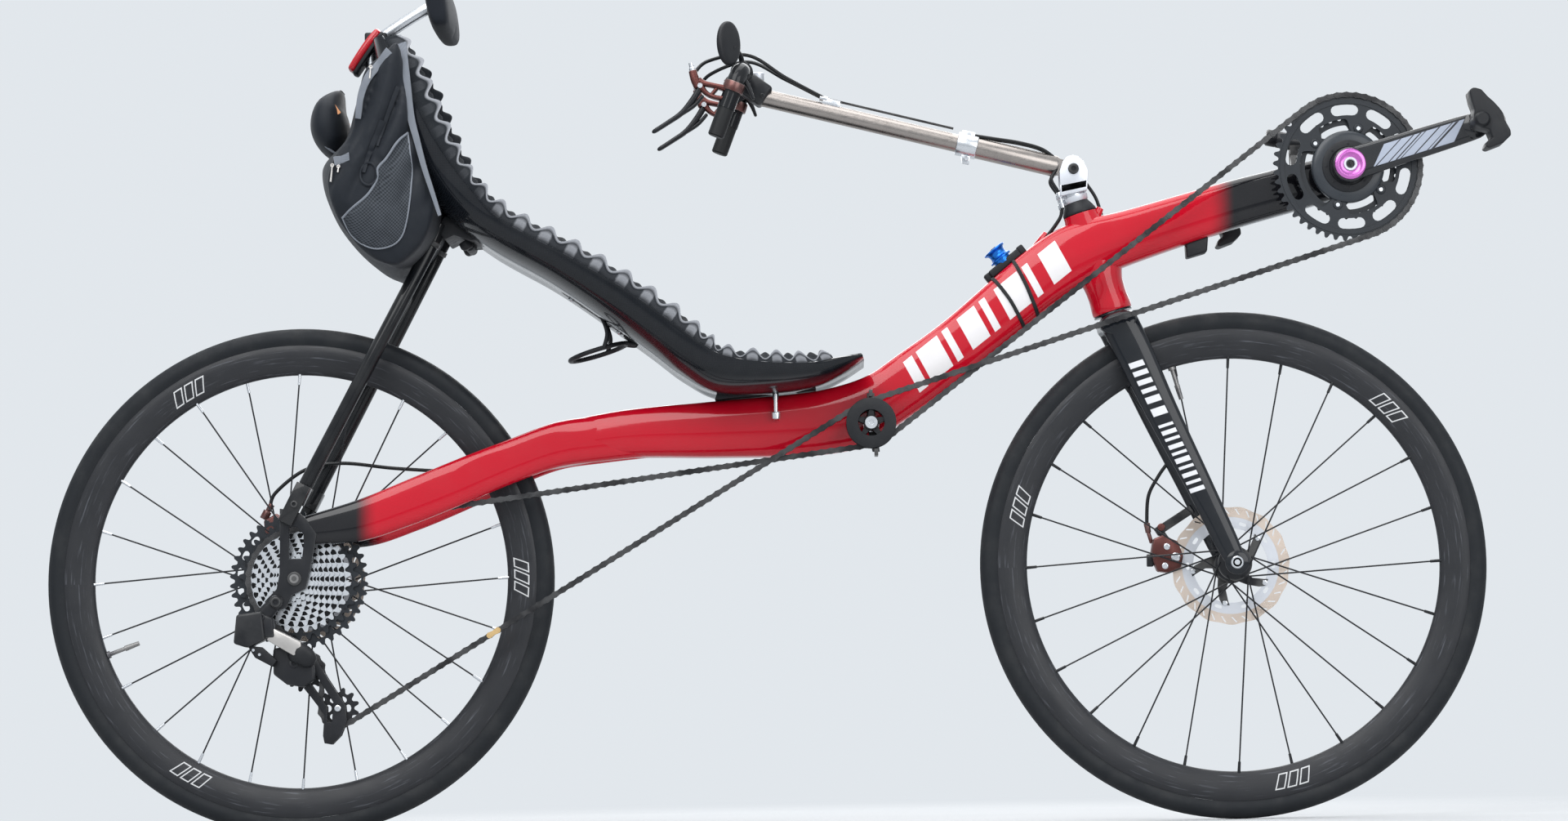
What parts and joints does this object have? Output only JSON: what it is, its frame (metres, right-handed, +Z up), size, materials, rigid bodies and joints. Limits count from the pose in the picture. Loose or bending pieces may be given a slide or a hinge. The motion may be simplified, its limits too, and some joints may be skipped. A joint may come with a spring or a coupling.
{
  "type": "recumbent bicycle",
  "caption": "Two-wheeled recumbent bicycle: low moulded bucket seat with profiled foam, curved beam frame, high forward cranks, long chain over an idler, tiller steering and disc brakes.",
  "frame": {"origin": "the seat reference point, at the middle of the seat pan's surface", "axes": "+X to the front, +Y to the rider's left, +Z up"},
  "size_m": [1.9331, 0.284, 1.1445],
  "materials": {
    "red_paint": "gloss lacquer over carbon fibre",
    "black_carbon": "gloss clear-coated carbon fibre",
    "satin_carbon": "satin carbon fibre",
    "foam": "open-cell profiled foam",
    "bag_fabric": "woven nylon",
    "pad_fabric": "padded cloth",
    "black_plastic": "moulded",
    "lamp_red": "clear moulded",
    "chain_steel": "oiled dark steel",
    "cassette_steel": "bright plated steel",
    "black_alloy": "black anodised alloy",
    "bronze_alloy": "bronze anodised alloy",
    "blue_alloy": "blue anodised alloy",
    "silver_alloy": "polished alloy",
    "titanium": "brushed titanium",
    "tyre": "smooth road tread",
    "rotor_steel": "ground steel",
    "hose": "smooth hose"
  },
  "bodies": {
    "frame": {"main_frame": "red_paint", "dropout_right": "black_alloy", "dropout_left": "black_alloy", "seat_stay_right": "satin_carbon", "seat_stay_left": "satin_carbon", "seat_shell": "black_carbon", "seat_foam": "foam", "seat_base": "black_plastic", "headrest_bracket": "silver_alloy", "headrest_pad": "pad_fabric", "seat_bag": "bag_fabric", "rear_lamp": "lamp_red", "bottle_cage": "black_plastic", "idler_bracket": "silver_alloy", "chain": "chain_steel", "cassette": "cassette_steel", "derailleur_body": "black_alloy", "derailleur_cage": "black_alloy", "rear_brake": "bronze_alloy", "front_lamp": "black_alloy", "boom_box": "black_plastic", "spool_mount": "blue_alloy"},
    "fork_body": {"fork": "satin_carbon", "headset_cone": "black_plastic", "stem_clevis": "silver_alloy", "front_brake": "bronze_alloy"},
    "tiller": {"tiller_outer": "titanium", "tiller_clamp": "silver_alloy"},
    "handlebar_set": {"tiller_inner": "titanium", "handlebar": "satin_carbon", "lever_right": "bronze_alloy", "lever_left": "bronze_alloy", "mirror": "black_plastic", "tiller_cables": "hose"},
    "front_wheel": {"front_tyre": "tyre", "front_rim": "satin_carbon", "front_hub": "black_alloy", "front_rotor": "rotor_steel"},
    "rear_wheel": {"rear_tyre": "tyre", "rear_rim": "satin_carbon", "rear_hub": "black_alloy", "rear_rotor": "rotor_steel"},
    "cranks": {"crank_right": "black_alloy", "crank_left": "black_alloy", "chainrings": "black_alloy"},
    "right_pedal": {"pedal_right": "black_plastic"},
    "left_pedal": {"pedal_left": "black_plastic"},
    "idler_wheel": {"idler": "black_plastic"}
  },
  "joints": [
    {"name": "steering", "type": "hinge", "parent": "frame", "child": "fork_body", "pos_m": [0.4754, 0, 0.0621], "axis": [-0.2924, 0, 0.9563], "range_deg": [-40, 40]},
    {"name": "tiller_tilt", "type": "hinge", "parent": "fork_body", "child": "tiller", "pos_m": [0.426, 0, 0.2552], "axis": [0, 1, 0], "range_deg": [0, 75]},
    {"name": "tiller_length", "type": "slide", "parent": "tiller", "child": "handlebar_set", "axis": [-0.9686, 0, 0.2488], "range_m": [-0.035, 0.035]},
    {"name": "front_wheel_spin", "type": "hinge", "parent": "fork_body", "child": "front_wheel", "pos_m": [0.629, 0, -0.2805], "axis": [0, 1, 0], "continuous": true},
    {"name": "rear_wheel_spin", "type": "hinge", "parent": "frame", "child": "rear_wheel", "pos_m": [-0.62, 0, -0.2805], "axis": [0, 1, 0], "continuous": true},
    {"name": "crank_spin", "type": "hinge", "parent": "frame", "child": "cranks", "pos_m": [0.792, 0, 0.247], "axis": [0, 1, 0], "continuous": true},
    {"name": "right_pedal_spin", "type": "hinge", "parent": "cranks", "child": "right_pedal", "pos_m": [0.96022, -0.115, 0.29524], "axis": [0, 1, 0], "continuous": true},
    {"name": "left_pedal_spin", "type": "hinge", "parent": "cranks", "child": "left_pedal", "pos_m": [0.62378, 0.115, 0.19876], "axis": [0, 1, 0], "continuous": true},
    {"name": "idler_spin", "type": "hinge", "parent": "frame", "child": "idler_wheel", "pos_m": [0.147, -0.05, -0.086], "axis": [0, 1, 0], "continuous": true}
  ],
  "couplings": [
    {"joint": "idler_spin", "follows": "crank_spin", "ratio": -3.4067}
  ]
}
